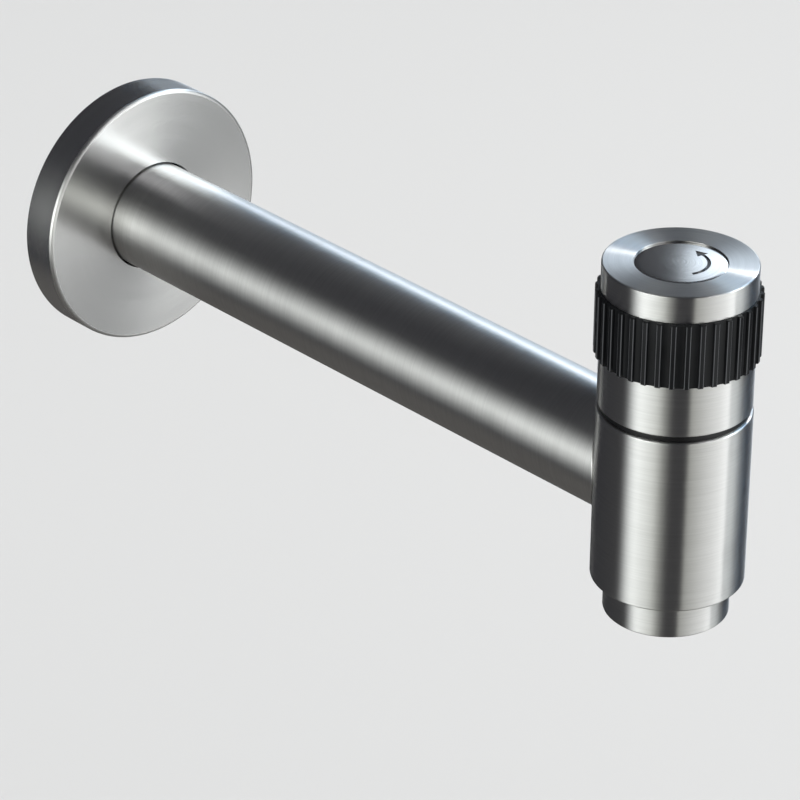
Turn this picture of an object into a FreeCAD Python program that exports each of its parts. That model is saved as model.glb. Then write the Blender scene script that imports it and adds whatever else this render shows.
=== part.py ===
import FreeCAD, Part
import math
import os

# A wall-mounted cold-water tap: a round flange on the wall, a long level tube, and an upright
# round head at its end with a ribbed knob on top and an aerator underneath.
# Origin: where the tap's axis meets the wall face. +Y goes into the wall, -Y out along the tube,
# +Z up. All sizes are in millimetres.

# Tube and wall side
reach = 175.0                  # wall face to the head's axis
tube_d = 25.0
tube_wall = 1.5
flange_d = 60.8
flange_depth = 9.1
flange_skin = 1.6
flange_round = 0.6             # rounded front edge
flange_bore_gap = 0.35         # flange bore to tube, per side
flange_boss_wall = 4.0
flange_boss_depth = 6.6
flange_seal_width = 2.3        # groove width for the ring in the flange bore
flange_seal_bite = 1.35        # groove depth beyond the flange bore

# Threaded inlet that screws into the wall
inlet_thread_d = 20.955        # G1/2 major diameter
inlet_thread_length = 18.0
inlet_chamfer = 1.2
inlet_bore_d = 14.0
inlet_relief_width = 1.5
inlet_relief_cut = 1.2
inlet_shoulder = 3.0
inlet_spigot = 10.0

# Head body
body_d = 32.2
body_rise = 16.9               # tube axis up to the body's top face
body_drop = 22.4               # tube axis down to the body's bottom face
body_edge = 0.4
port_d = 13.0                  # side port from the tube
seat_below_port = 1.5
chamber_above_port = 0.3
chamber_wall = 4.9
seat_hole_d = 11.0

# Aerator
aerator_thread_d = 24.0        # M24 x 1
aerator_thread_length = 6.5
aerator_collar_d = 26.4
aerator_collar_height = 8.0
aerator_shell_wall = 1.1
aerator_lip = 0.9              # how far the lip reaches in under the insert
aerator_lip_height = 1.2
aerator_edge = 0.35
aerator_washer_height = 2.4
aerator_washer_width = 2.0
aerator_insert_wall = 1.2
honeycomb_height = 2.0
honeycomb_pitch = 2.1
honeycomb_hole_d = 1.7
honeycomb_rim = 0.3
strainer_height = 1.6
strainer_pitch = 2.3
strainer_hole_d = 1.2
screen_height = 0.35
screen_gap = 0.25
screen_pitch = 1.5
screen_hole = 1.0
screen_rim = 0.8
screen_count = 2

# Valve cartridge
cartridge_thread_d = 20.955    # G1/2 major diameter
gasket_height = 1.0
gasket_width = 1.6
cartridge_flange_height = 1.5
cartridge_hex = 20.0           # across the flats
cartridge_hex_height = 6.0
cartridge_neck_d = 15.6
cartridge_neck_height = 4.6
cage_step = 0.85               # cage wall inside the thread's radius
cage_wall = 1.2
cage_lift = 0.6                # cage stops this far above the seat
cartridge_thread_lift = 0.4    # chamber's top to the start of the cartridge thread
window_height = 5.0
window_angle = 100.0
seat_seal_height = 2.4
seat_seal_width = 1.4
disc_height = 3.0
disc_gap = 0.1                 # disc to cage, per side
disc_hole_angle = 76.0
disc_hole_inner_d = 6.0
disc_hole_outer_d = 13.4
key_width = 2.4                # keys that stop the fixed disc turning
key_depth = 1.0
key_root = 0.3                 # how far a key runs into the cage wall
key_setback = 0.3              # key top below the face where the discs meet
spindle_d = 10.0
spindle_flange_height = 2.8
spindle_flange_gap = 0.3
tang_width = 4.0
tang_length = 10.0
tang_depth = 1.6
tang_neck_d = 8.0
washer_height = 0.7
o_ring_cord = 1.3
o_ring_count = 2
o_ring_pitch = 4.2
clip_height = 0.7
clip_width = 2.1
clip_groove = 0.8
clip_mouth = 60.0
spline_teeth = 20
spline_d = 8.0
spline_cut = 0.35
spline_share = 0.3             # part of the pitch taken by a crest, and by a root
spline_lead = 0.7              # plain length between the clip and the splines

# Knob
slip_ring_height = 1.2
slip_ring_inset = 0.6
slip_ring_width = 2.9
knob_d = 31.8
knob_skirt_height = 11.2       # plain steel below the grip
knob_band_height = 5.75        # plain steel above the grip
knob_wall = 2.8
knob_top_round = 0.7
knob_edge = 0.3
knob_web = 2.8
hub_wall = 2.0
hub_hex = 13.8
hub_clearance = 2.5            # cartridge neck to the hub's lower end
grip_height = 14.35
grip_ribs = 36
grip_crest_d = 34.0
grip_valley_d = 32.5
grip_bed = 1.3                 # groove depth in the knob
grip_crest_width = 1.05
grip_flank = 0.35
grip_edge = 0.3
top_disc_d = 18.9
top_disc_gap = 0.2
top_disc_recess = 1.9          # depth of its recess in the knob
top_disc_height = 1.95         # recess floor to the middle of its domed face
top_disc_dome = 0.3            # how far the domed face falls to its edge
mark_depth = 0.25
mark_radius = 5.6
mark_width = 0.75
mark_sweep = 105.0
mark_head = 2.6
screw_d = 4.0
screw_length = 12.0
screw_head_d = 7.4
screw_head_height = 2.6
screw_socket = 2.5
screw_socket_depth = 1.5
screw_head_round = 0.8
screw_point = 0.5
screw_hole_spare = 1.0         # hole in the spindle, deeper than the screw
screw_head_gap = 0.5           # head to the top disc's recess
screw_pocket_gap = 0.4
top_disc_boss_gap = 0.1
screw_web = 2.5

# Clearances
thread_gap = 0.05
running_gap = 0.05
weld_gap = 0.02
seat_gap = 0.05
knob_lift = 0.1                # knob to the slip ring below it
key_gap = 0.1
washer_gap = 0.15
groove_gap = 0.25              # sealing ring to each side of its groove
screw_hole_gap = 0.2
spindle_top_gap = 0.6
window_lift = 0.2              # moving disc's top to the windows

# Levels up the head, from the tube axis
tube_r = tube_d / 2
body_r = body_d / 2
chamber_r = body_r - chamber_wall
chamber_top = port_d / 2 + chamber_above_port
seat_level = -(port_d / 2 + seat_below_port)
body_bottom = -body_drop
collar_bottom = body_bottom - aerator_collar_height
aerator_thread_top = body_bottom + aerator_thread_length
aerator_seat = aerator_thread_top + aerator_washer_height
fixed_disc_bottom = seat_level + seat_seal_height
disc_face = fixed_disc_bottom + disc_height
moving_disc_top = disc_face + disc_height
window_bottom = moving_disc_top + window_lift
window_top = window_bottom + window_height
spindle_flange_bottom = window_top + spindle_flange_gap
spindle_flange_top = spindle_flange_bottom + spindle_flange_height
washer_bottom = spindle_flange_top + running_gap
shoulder_level = washer_bottom + washer_height + running_gap
gasket_top = body_rise + gasket_height
hex_bottom = gasket_top + cartridge_flange_height
hex_top = hex_bottom + cartridge_hex_height
neck_top = hex_top + cartridge_neck_height
clip_bottom = neck_top + running_gap
spline_bottom = clip_bottom + clip_height + spline_lead
knob_bottom = body_rise + slip_ring_height + knob_lift
grip_bottom = knob_bottom + knob_skirt_height
grip_top = grip_bottom + grip_height
knob_top = grip_top + knob_band_height
recess_floor = knob_top - top_disc_recess
screw_seat = recess_floor - screw_head_height - screw_head_gap
pocket_top = screw_seat - screw_web
spindle_top = pocket_top - spindle_top_gap
hub_bottom = neck_top + hub_clearance

# Radii in the cartridge
cartridge_thread_r = cartridge_thread_d / 2
cartridge_flange_r = cartridge_thread_r + thread_gap + gasket_width
cage_r = cartridge_thread_r - cage_step
cage_bore_r = cage_r - cage_wall
disc_r = cage_bore_r - disc_gap
spindle_r = spindle_d / 2
spindle_bore_r = spindle_r + running_gap

head_axis = FreeCAD.Vector(0, -reach, 0)


def make_wire(outline):
    """A closed wire in the XZ plane from (radius, height) points. A point with four numbers ends
    an arc whose middle is the last two."""
    points = [FreeCAD.Vector(p[0], 0, p[1]) for p in outline]
    edges = []
    for i, end in enumerate(outline):
        start_point, end_point = points[i - 1], points[i]
        if len(end) == 4:
            middle = FreeCAD.Vector(end[2], 0, end[3])
            edges.append(Part.Arc(start_point, middle, end_point).toShape())
        elif start_point.distanceToPoint(end_point) > 1e-7:
            edges.append(Part.makeLine(start_point, end_point))
    return Part.Wire(edges)


def turned(outline):
    """A solid turned about the Z axis."""
    face = Part.Face(make_wire(outline))
    return face.revolve(FreeCAD.Vector(0, 0, 0), FreeCAD.Vector(0, 0, 1), 360)


def tube(inner_r, outer_r, bottom, top):
    return turned([(inner_r, bottom), (outer_r, bottom), (outer_r, top), (inner_r, top)])


def rod(radius, bottom, top):
    return Part.makeCylinder(radius, top - bottom, FreeCAD.Vector(0, 0, bottom))


def block(size_x, size_y, bottom, top):
    """A box centred on the Z axis."""
    corner = FreeCAD.Vector(-size_x / 2, -size_y / 2, bottom)
    return Part.makeBox(size_x, size_y, top - bottom, corner)


def corner_round(radius, height, size):
    """The two outline points, in rising order, that round an outside corner on a top edge."""
    middle = size * (1 - math.sqrt(0.5))
    return (radius, height - size), (radius - size, height, radius - middle, height - middle)


def foot_round(radius, height, size):
    """The same on a bottom edge."""
    middle = size * (1 - math.sqrt(0.5))
    return (radius - size, height), (radius, height + size, radius - middle, height + middle)


def hex_prism(across_flats, bottom, top):
    corner_r = across_flats / math.sqrt(3)
    corners = []
    for i in range(7):
        angle = math.radians(60 * i)
        corners.append(FreeCAD.Vector(corner_r * math.cos(angle), corner_r * math.sin(angle), bottom))
    face = Part.Face(Part.makePolygon(corners))
    return face.extrude(FreeCAD.Vector(0, 0, top - bottom))


def sector(inner_r, outer_r, centre_angle, sweep, bottom, top):
    """A piece of a ring, centred on an angle in degrees."""
    upright = FreeCAD.Vector(0, 0, 1)
    base = FreeCAD.Vector(0, 0, bottom)
    wedge = Part.makeCylinder(outer_r, top - bottom, base, upright, sweep)
    wedge = wedge.cut(rod(inner_r, bottom, top))
    wedge.rotate(FreeCAD.Vector(0, 0, 0), upright, centre_angle - sweep / 2)
    return wedge


def toothed_prism(root_r, crest_r, teeth, crest_share, root_share, bottom, top):
    """A prism with straight-sided teeth around it."""
    pitch = 2 * math.pi / teeth
    corners = []
    for i in range(teeth):
        for radius, offset in (
            (crest_r, -crest_share / 2),
            (crest_r, crest_share / 2),
            (root_r, 0.5 - root_share / 2),
            (root_r, 0.5 + root_share / 2),
        ):
            angle = (i + offset) * pitch
            corners.append(FreeCAD.Vector(radius * math.cos(angle), radius * math.sin(angle), bottom))
    face = Part.Face(Part.makePolygon(corners + corners[:1]))
    return face.extrude(FreeCAD.Vector(0, 0, top - bottom))


def spline_prism(gap, bottom, top):
    """The spindle's splines, grown by a gap for the hole that fits over them."""
    crest_r = spline_d / 2 + gap
    root_r = crest_r - spline_cut
    return toothed_prism(root_r, crest_r, spline_teeth, spline_share, spline_share, bottom, top)


def grid_places(pitch, limit_r):
    """Places of a triangular grid that lie inside a circle."""
    rows = int(limit_r / (pitch * math.sqrt(0.75))) + 1
    places = []
    for row in range(-rows, rows + 1):
        for column in range(-rows - 1, rows + 2):
            x = pitch * (column + (row % 2) / 2)
            y = pitch * math.sqrt(0.75) * row
            if math.hypot(x, y) <= limit_r:
                places.append((x, y))
    return places


def perforated(disc, tools):
    return disc.cut(Part.makeCompound(tools))


def to_wall(shape):
    """Lays a turned piece along the tube: its height becomes +Y."""
    shape.rotate(FreeCAD.Vector(0, 0, 0), FreeCAD.Vector(1, 0, 0), -90)
    return shape


def to_head(shape):
    shape.translate(head_axis)
    return shape


def wall_flange():
    outer_r = flange_d / 2
    bore_r = tube_r + flange_bore_gap
    boss_r = bore_r + flange_boss_wall
    front, back = -flange_depth, 0
    groove_middle = front + flange_boss_depth / 2
    groove_front = groove_middle - flange_seal_width / 2
    groove_back = groove_middle + flange_seal_width / 2
    groove_r = bore_r + flange_seal_bite
    round_start, round_end = foot_round(outer_r, front, flange_round)
    return to_wall(turned([
        (bore_r, front),
        round_start,
        round_end,
        (outer_r, back),
        (outer_r - flange_skin, back),
        (outer_r - flange_skin, front + flange_skin),
        (boss_r, front + flange_skin),
        (boss_r, front + flange_boss_depth),
        (bore_r, front + flange_boss_depth),
        (bore_r, groove_back),
        (groove_r, groove_back),
        (groove_r, groove_front),
        (bore_r, groove_front),
    ]))


def flange_seal():
    inner_r = tube_r + running_gap
    outer_r = tube_r + flange_bore_gap + flange_seal_bite
    cord_r = (outer_r - inner_r) / 2
    middle = -flange_depth + flange_boss_depth / 2
    return to_wall(Part.makeTorus(inner_r + cord_r, cord_r, FreeCAD.Vector(0, 0, middle)))


def inlet_nipple():
    thread_r = inlet_thread_d / 2
    relief_r = thread_r - inlet_relief_cut
    bore_r = inlet_bore_d / 2
    spigot_r = tube_r - tube_wall - weld_gap
    shoulder_back = -inlet_relief_width
    shoulder_front = shoulder_back - inlet_shoulder
    spigot_front = shoulder_front - inlet_spigot
    return to_wall(turned([
        (bore_r, spigot_front),
        (spigot_r, spigot_front),
        (spigot_r, shoulder_front),
        (tube_r, shoulder_front),
        (tube_r, shoulder_back),
        (relief_r, shoulder_back),
        (relief_r, 0),
        (thread_r, 0),
        (thread_r, inlet_thread_length - inlet_chamfer),
        (thread_r - inlet_chamfer, inlet_thread_length),
        (bore_r, inlet_thread_length),
    ]))


def spout_tube():
    start = -inlet_relief_width - inlet_shoulder
    pipe = to_wall(tube(tube_r - tube_wall, tube_r, -reach, start))
    head_hole = to_head(rod(body_r + weld_gap, -tube_d, tube_d))
    return pipe.cut(head_hole)


def head_body():
    thread_r = cartridge_thread_r + thread_gap
    aerator_r = aerator_thread_d / 2 + thread_gap
    mouth = body_edge
    shell = turned([
        (seat_hole_d / 2, seat_level),
        (chamber_r, seat_level),
        (chamber_r, chamber_top),
        (thread_r, chamber_top),
        (thread_r, body_rise - mouth),
        (thread_r + mouth, body_rise),
        (body_r - body_edge, body_rise),
        (body_r, body_rise - body_edge),
        (body_r, body_bottom + body_edge),
        (body_r - body_edge, body_bottom),
        (aerator_r + mouth, body_bottom),
        (aerator_r, body_bottom + mouth),
        (aerator_r, aerator_seat),
        (seat_hole_d / 2, aerator_seat),
    ])
    port = Part.makeCylinder(port_d / 2, body_d, FreeCAD.Vector(0, 0, 0), FreeCAD.Vector(0, 1, 0))
    return to_head(shell.cut(port))


def slip_ring():
    outer_r = body_r - slip_ring_inset
    return to_head(tube(outer_r - slip_ring_width, outer_r, body_rise, body_rise + slip_ring_height))


def cartridge_housing():
    thread_bottom = chamber_top + cartridge_thread_lift
    cage_bottom = seat_level + cage_lift
    shell = turned([
        (cage_bore_r, cage_bottom),
        (cage_r, cage_bottom),
        (cage_r, thread_bottom),
        (cartridge_thread_r, thread_bottom),
        (cartridge_thread_r, gasket_top),
        (cartridge_flange_r, gasket_top),
        (cartridge_flange_r, hex_bottom),
        (cartridge_neck_d / 2, hex_bottom),
        (cartridge_neck_d / 2, neck_top),
        (spindle_bore_r, neck_top),
        (spindle_bore_r, shoulder_level),
        (cage_bore_r, shoulder_level),
    ])
    collar = hex_prism(cartridge_hex, hex_bottom, hex_top)
    shell = shell.fuse(collar.cut(rod(cartridge_neck_d / 2, hex_bottom, hex_top)))
    for side in (0, 180):
        window = sector(cage_bore_r - 1, cage_r + 1, side, window_angle, window_bottom, window_top)
        shell = shell.cut(window)
    key_top = disc_face - key_setback
    for side in (90, 270):
        key = block(key_depth + key_root, key_width, cage_bottom, key_top)
        key.translate(FreeCAD.Vector(cage_bore_r + (key_root - key_depth) / 2, 0, 0))
        key.rotate(FreeCAD.Vector(0, 0, 0), FreeCAD.Vector(0, 0, 1), side)
        shell = shell.fuse(key)
    return to_head(shell.removeSplitter())


def cartridge_gasket():
    inner_r = cartridge_thread_r + thread_gap
    return to_head(tube(inner_r + body_edge, cartridge_flange_r, body_rise, gasket_top))


def seat_seal():
    ring = tube(disc_r - seat_seal_width, disc_r, seat_level, fixed_disc_bottom)
    return to_head(ring.cut(Part.makeCompound(key_slots(seat_level, fixed_disc_bottom))))


def key_slots(bottom, top):
    """Cutters for the slots that the housing's keys run in."""
    slots = []
    for side in (90, 270):
        depth = key_depth + key_gap
        slot = block(2 * depth, key_width + 2 * key_gap, bottom, top)
        slot.translate(FreeCAD.Vector(disc_r, 0, 0))
        slot.rotate(FreeCAD.Vector(0, 0, 0), FreeCAD.Vector(0, 0, 1), side)
        slots.append(slot)
    return slots


def ceramic_disc(bottom, hole_angles):
    top = bottom + disc_height
    disc = rod(disc_r, bottom, top)
    for angle in hole_angles:
        disc = disc.cut(sector(
            disc_hole_inner_d / 2, disc_hole_outer_d / 2, angle, disc_hole_angle, bottom, top,
        ))
    return disc


def fixed_disc():
    disc = ceramic_disc(fixed_disc_bottom, (0, 180))
    return to_head(disc.cut(Part.makeCompound(key_slots(fixed_disc_bottom, disc_face))))


def moving_disc():
    disc = ceramic_disc(disc_face, (90, 270))
    gap = 2 * seat_gap
    slot = block(tang_length + gap, tang_width + gap, moving_disc_top - tang_depth, moving_disc_top)
    return to_head(disc.cut(slot))


def groove_levels():
    """The middle of each sealing-ring groove up the spindle."""
    middle = (shoulder_level + neck_top) / 2
    first = middle - o_ring_pitch * (o_ring_count - 1) / 2
    return [first + o_ring_pitch * i for i in range(o_ring_count)]


def valve_spindle():
    groove_r = spindle_r - o_ring_cord
    groove_half = o_ring_cord / 2 + groove_gap
    clip_r = spindle_r - clip_groove
    clip_top = clip_bottom + clip_height
    outline = [
        (0, moving_disc_top),
        (tang_neck_d / 2, moving_disc_top),
        (tang_neck_d / 2, spindle_flange_bottom),
        (disc_r, spindle_flange_bottom),
        (disc_r, spindle_flange_top),
        (spindle_r, spindle_flange_top),
    ]
    for level in groove_levels():
        outline += [
            (spindle_r, level - groove_half),
            (groove_r, level - groove_half),
            (groove_r, level + groove_half),
            (spindle_r, level + groove_half),
        ]
    outline += [
        (spindle_r, clip_bottom),
        (clip_r, clip_bottom),
        (clip_r, clip_top),
        (spindle_r, clip_top),
        (spindle_r, spline_bottom),
        (0, spline_bottom),
    ]
    shaft = turned(outline)
    tang = block(tang_length, tang_width, moving_disc_top - tang_depth + seat_gap, moving_disc_top)
    spline = spline_prism(0, spline_bottom, spindle_top)
    shaft = shaft.fuse([tang, spline])
    screw_hole_bottom = screw_seat - screw_length - screw_hole_spare
    shaft = shaft.cut(rod(screw_d / 2 + thread_gap, screw_hole_bottom, spindle_top))
    return to_head(shaft.removeSplitter())


def spindle_rings():
    cord_r = o_ring_cord / 2
    centre_r = spindle_r - cord_r
    rings = [Part.makeTorus(centre_r, cord_r, FreeCAD.Vector(0, 0, z)) for z in groove_levels()]
    return to_head(Part.makeCompound(rings))


def spindle_washer():
    return to_head(tube(
        spindle_bore_r + washer_gap, disc_r, washer_bottom, washer_bottom + washer_height,
    ))


def spindle_clip():
    inner_r = spindle_r - clip_groove + seat_gap
    top = clip_bottom + clip_height
    ring = tube(inner_r, inner_r + clip_width, clip_bottom, top)
    mouth = sector(inner_r / 2, inner_r + 2 * clip_width, 0, clip_mouth, clip_bottom, top)
    return to_head(ring.cut(mouth))


def spline_bush():
    """The hexagonal bush that carries the knob on the spindle's splines."""
    top = pocket_top - seat_gap
    bush = hex_prism(hub_hex - 2 * seat_gap, hub_bottom, top)
    return to_head(bush.cut(spline_prism(seat_gap, hub_bottom, top)))


def knob_shell():
    outer_r = knob_d / 2
    bed_r = outer_r - grip_bed
    bore_r = outer_r - knob_wall
    hub_r = hub_hex / math.sqrt(3) + hub_wall
    recess_r = top_disc_d / 2 + top_disc_gap
    head_r = screw_head_d / 2 + screw_pocket_gap
    web_bottom = recess_floor - knob_web
    round_start, round_end = corner_round(outer_r, knob_top, knob_top_round)
    shell = turned([
        (0, hub_bottom),
        (hub_r, hub_bottom),
        (hub_r, web_bottom),
        (bore_r, web_bottom),
        (bore_r, knob_bottom),
        (outer_r - knob_edge, knob_bottom),
        (outer_r, knob_bottom + knob_edge),
        (outer_r, grip_bottom),
        (bed_r, grip_bottom),
        (bed_r, grip_top),
        (outer_r, grip_top),
        round_start,
        round_end,
        (recess_r, knob_top),
        (recess_r, recess_floor),
        (head_r, recess_floor),
        (head_r, screw_seat),
        (0, screw_seat),
    ])
    shell = shell.cut(hex_prism(hub_hex, hub_bottom, pocket_top))
    return to_head(shell.cut(rod(screw_d / 2 + screw_hole_gap, pocket_top, screw_seat)))


def grip_outline(bottom, top):
    """The ribbed outline of the grip: flat valleys and narrow raised ribs with sloped flanks."""
    crest_r, valley_r = grip_crest_d / 2, grip_valley_d / 2
    pitch = 2 * math.pi / grip_ribs
    crest_half = math.asin(grip_crest_width / 2 / crest_r)
    foot_half = math.asin((grip_crest_width / 2 + grip_flank) / valley_r)

    def at(radius, angle):
        return FreeCAD.Vector(radius * math.cos(angle), radius * math.sin(angle), bottom)

    edges = []
    for i in range(grip_ribs):
        middle = i * pitch
        crest = [at(crest_r, middle + a) for a in (-crest_half, 0, crest_half)]
        valley = [at(valley_r, middle + a) for a in (foot_half, pitch / 2, pitch - foot_half)]
        edges.append(Part.Arc(*crest).toShape())
        edges.append(Part.makeLine(crest[2], valley[0]))
        edges.append(Part.Arc(*valley).toShape())
        edges.append(Part.makeLine(valley[2], at(crest_r, middle + pitch - crest_half)))
    face = Part.Face(Part.Wire(edges))
    return face.extrude(FreeCAD.Vector(0, 0, top - bottom))


def grip_ring():
    bottom, top = grip_bottom + seat_gap, grip_top - seat_gap
    bed_r = knob_d / 2 - grip_bed + weld_gap
    crest_r = grip_crest_d / 2
    ribbed = grip_outline(bottom, top)
    envelope = turned([
        (bed_r, bottom),
        (crest_r - grip_edge, bottom),
        (crest_r + weld_gap, bottom + grip_edge),
        (crest_r + weld_gap, top - grip_edge),
        (crest_r - grip_edge, top),
        (bed_r, top),
    ])
    return to_head(ribbed.common(envelope))


def turn_mark(top):
    """Cutters for a curved arrow that shows which way opens."""
    bottom = top - mark_depth
    inner_r, outer_r = mark_radius - mark_width / 2, mark_radius + mark_width / 2
    centre_angle = -60
    arrow = sector(inner_r, outer_r, centre_angle, mark_sweep, bottom, top + 1)
    end_angle = math.radians(centre_angle + mark_sweep / 2)
    tip = FreeCAD.Vector(mark_radius * math.cos(end_angle), mark_radius * math.sin(end_angle), bottom)
    forward = FreeCAD.Vector(-math.sin(end_angle), math.cos(end_angle), 0)
    outward = FreeCAD.Vector(math.cos(end_angle), math.sin(end_angle), 0)
    corners = [tip + forward * mark_head, tip + outward * (mark_head / 2), tip - outward * (mark_head / 2)]
    head = Part.Face(Part.makePolygon(corners + corners[:1])).extrude(FreeCAD.Vector(0, 0, mark_depth + 1))
    return arrow.fuse(head)


def knob_top_disc():
    """A domed disc with a low boss that sits in the screw's pocket."""
    radius = top_disc_d / 2
    top = recess_floor + top_disc_height
    boss_r = screw_head_d / 2 + screw_pocket_gap - top_disc_boss_gap
    disc = rod(radius, recess_floor, top + 1)
    dome_r = (radius ** 2 + top_disc_dome ** 2) / (2 * top_disc_dome)
    disc = disc.common(Part.makeSphere(dome_r, FreeCAD.Vector(0, 0, top - dome_r)))
    boss = rod(boss_r, recess_floor - screw_head_gap / 2, recess_floor)
    mark_top = top - dome_r + math.sqrt(dome_r ** 2 - mark_radius ** 2)
    return to_head(disc.fuse(boss).cut(turn_mark(mark_top)).removeSplitter())


def knob_screw():
    head_top = screw_seat + screw_head_height
    head_r = screw_head_d / 2
    shank_r = screw_d / 2
    tip = screw_seat - screw_length
    round_start, round_end = corner_round(head_r, head_top, screw_head_round)
    screw = turned([
        (0, tip),
        (shank_r - screw_point, tip),
        (shank_r, tip + screw_point),
        (shank_r, screw_seat),
        (head_r, screw_seat),
        round_start,
        round_end,
        (0, head_top),
    ])
    return to_head(screw.cut(hex_prism(screw_socket, head_top - screw_socket_depth, head_top)))


def aerator_shell():
    collar_r = aerator_collar_d / 2
    thread_r = aerator_thread_d / 2
    bore_r = thread_r - aerator_shell_wall
    lip_top = collar_bottom + aerator_lip_height
    return to_head(turned([
        (bore_r - aerator_lip + aerator_edge, collar_bottom),
        (collar_r - aerator_edge, collar_bottom),
        (collar_r, collar_bottom + aerator_edge),
        (collar_r, body_bottom),
        (thread_r, body_bottom),
        (thread_r, aerator_thread_top),
        (bore_r, aerator_thread_top),
        (bore_r, lip_top),
        (bore_r - aerator_lip, lip_top),
        (bore_r - aerator_lip, collar_bottom + aerator_edge),
    ]))


def insert_r():
    return aerator_thread_d / 2 - aerator_shell_wall - seat_gap


def aerator_washer():
    inner_r = insert_r() - aerator_washer_width
    return to_head(tube(inner_r, aerator_thread_d / 2 - thread_gap, aerator_thread_top, aerator_seat))


def aerator_insert():
    """The plastic cup of the aerator, with a honeycomb outlet plate."""
    outer_r = insert_r()
    bottom = collar_bottom + aerator_lip_height
    top = aerator_thread_top - strainer_height
    plate_top = bottom + honeycomb_height
    cup = rod(outer_r, bottom, top)
    cup = cup.cut(rod(outer_r - aerator_insert_wall, plate_top, top))
    limit_r = outer_r - aerator_lip - honeycomb_hole_d / 2 - honeycomb_rim
    holes = []
    for x, y in grid_places(honeycomb_pitch, limit_r):
        hole = hex_prism(honeycomb_hole_d, bottom, plate_top)
        hole.rotate(FreeCAD.Vector(0, 0, 0), FreeCAD.Vector(0, 0, 1), 30)
        hole.translate(FreeCAD.Vector(x, y, 0))
        holes.append(hole)
    return to_head(perforated(cup, holes))


def aerator_screens():
    """Square-mesh screens, stacked on the honeycomb plate."""
    radius = insert_r() - aerator_insert_wall - seat_gap
    level = collar_bottom + aerator_lip_height + honeycomb_height
    limit_r = radius - screen_rim
    across = int(limit_r / screen_pitch)
    screens = []
    for i in range(screen_count):
        top = level + screen_height
        disc = rod(radius, level, top)
        holes = []
        for column in range(-across, across + 1):
            for row in range(-across, across + 1):
                x, y = column * screen_pitch, row * screen_pitch
                if math.hypot(abs(x) + screen_hole / 2, abs(y) + screen_hole / 2) < limit_r:
                    hole = block(screen_hole, screen_hole, level, top)
                    hole.translate(FreeCAD.Vector(x, y, 0))
                    holes.append(hole)
        screens.append(perforated(disc, holes))
        level = top + screen_gap
    return to_head(Part.makeCompound(screens))


def aerator_strainer():
    top = aerator_thread_top
    bottom = top - strainer_height
    disc = rod(insert_r(), bottom, top)
    limit_r = insert_r() - aerator_washer_width - strainer_hole_d
    holes = []
    for x, y in grid_places(strainer_pitch, limit_r):
        hole = rod(strainer_hole_d / 2, bottom, top)
        hole.translate(FreeCAD.Vector(x, y, 0))
        holes.append(hole)
    return to_head(perforated(disc, holes))


pieces = {
    "wall_flange": wall_flange,
    "flange_seal_ring": flange_seal,
    "inlet_nipple": inlet_nipple,
    "spout_tube": spout_tube,
    "head_body": head_body,
    "slip_ring": slip_ring,
    "cartridge_housing": cartridge_housing,
    "cartridge_gasket": cartridge_gasket,
    "seat_seal": seat_seal,
    "fixed_ceramic_disc": fixed_disc,
    "moving_ceramic_disc": moving_disc,
    "valve_spindle": valve_spindle,
    "spindle_o_rings": spindle_rings,
    "spindle_washer": spindle_washer,
    "spindle_clip": spindle_clip,
    "spline_bush": spline_bush,
    "knob_shell": knob_shell,
    "knob_grip_ring": grip_ring,
    "knob_top_disc": knob_top_disc,
    "knob_screw": knob_screw,
    "aerator_shell": aerator_shell,
    "aerator_washer": aerator_washer,
    "aerator_insert": aerator_insert,
    "aerator_screens": aerator_screens,
    "aerator_strainer": aerator_strainer,
}

os.makedirs("parts", exist_ok=True)
for name, make in pieces.items():
    shape = make()
    if not shape.isValid() or min(solid.Volume for solid in shape.Solids) <= 0:
        print("check", name)
    shape.exportStep("parts/" + name + ".step")
    print(name, len(shape.Solids), "solids,", round(shape.Volume, 1), "mm3")
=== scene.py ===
import math

import bmesh
import bpy
from mathutils import Matrix, Vector


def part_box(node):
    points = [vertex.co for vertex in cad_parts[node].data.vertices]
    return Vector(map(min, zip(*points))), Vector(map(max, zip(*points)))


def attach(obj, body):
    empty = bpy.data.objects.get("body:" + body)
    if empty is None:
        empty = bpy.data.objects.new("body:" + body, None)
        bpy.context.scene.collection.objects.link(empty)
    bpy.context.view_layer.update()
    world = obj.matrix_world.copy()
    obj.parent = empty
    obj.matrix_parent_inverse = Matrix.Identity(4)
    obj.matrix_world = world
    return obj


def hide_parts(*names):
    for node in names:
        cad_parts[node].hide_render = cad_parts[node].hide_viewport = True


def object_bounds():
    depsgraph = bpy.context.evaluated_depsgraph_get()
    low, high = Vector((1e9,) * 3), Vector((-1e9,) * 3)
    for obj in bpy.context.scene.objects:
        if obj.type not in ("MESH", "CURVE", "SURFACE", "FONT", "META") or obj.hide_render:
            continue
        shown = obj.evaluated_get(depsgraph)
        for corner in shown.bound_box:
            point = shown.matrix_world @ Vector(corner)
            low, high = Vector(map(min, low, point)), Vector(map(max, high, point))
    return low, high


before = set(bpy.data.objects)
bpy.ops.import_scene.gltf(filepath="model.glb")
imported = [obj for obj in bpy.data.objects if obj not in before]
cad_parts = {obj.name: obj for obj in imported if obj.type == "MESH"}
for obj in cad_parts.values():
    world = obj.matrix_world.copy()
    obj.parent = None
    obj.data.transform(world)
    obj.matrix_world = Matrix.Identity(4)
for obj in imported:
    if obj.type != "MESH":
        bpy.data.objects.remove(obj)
cadLow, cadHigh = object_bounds()
print("stage: frame loaded")

mm = 0.001
hair = 0.001 * mm                 # points nearer than this count as one
fullTurn = math.tau


# Sizes read from the frame, so that every piece lands where the CAD has it
def nodeBox(node):
    low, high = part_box(node)
    return Vector(low), Vector(high)


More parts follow.
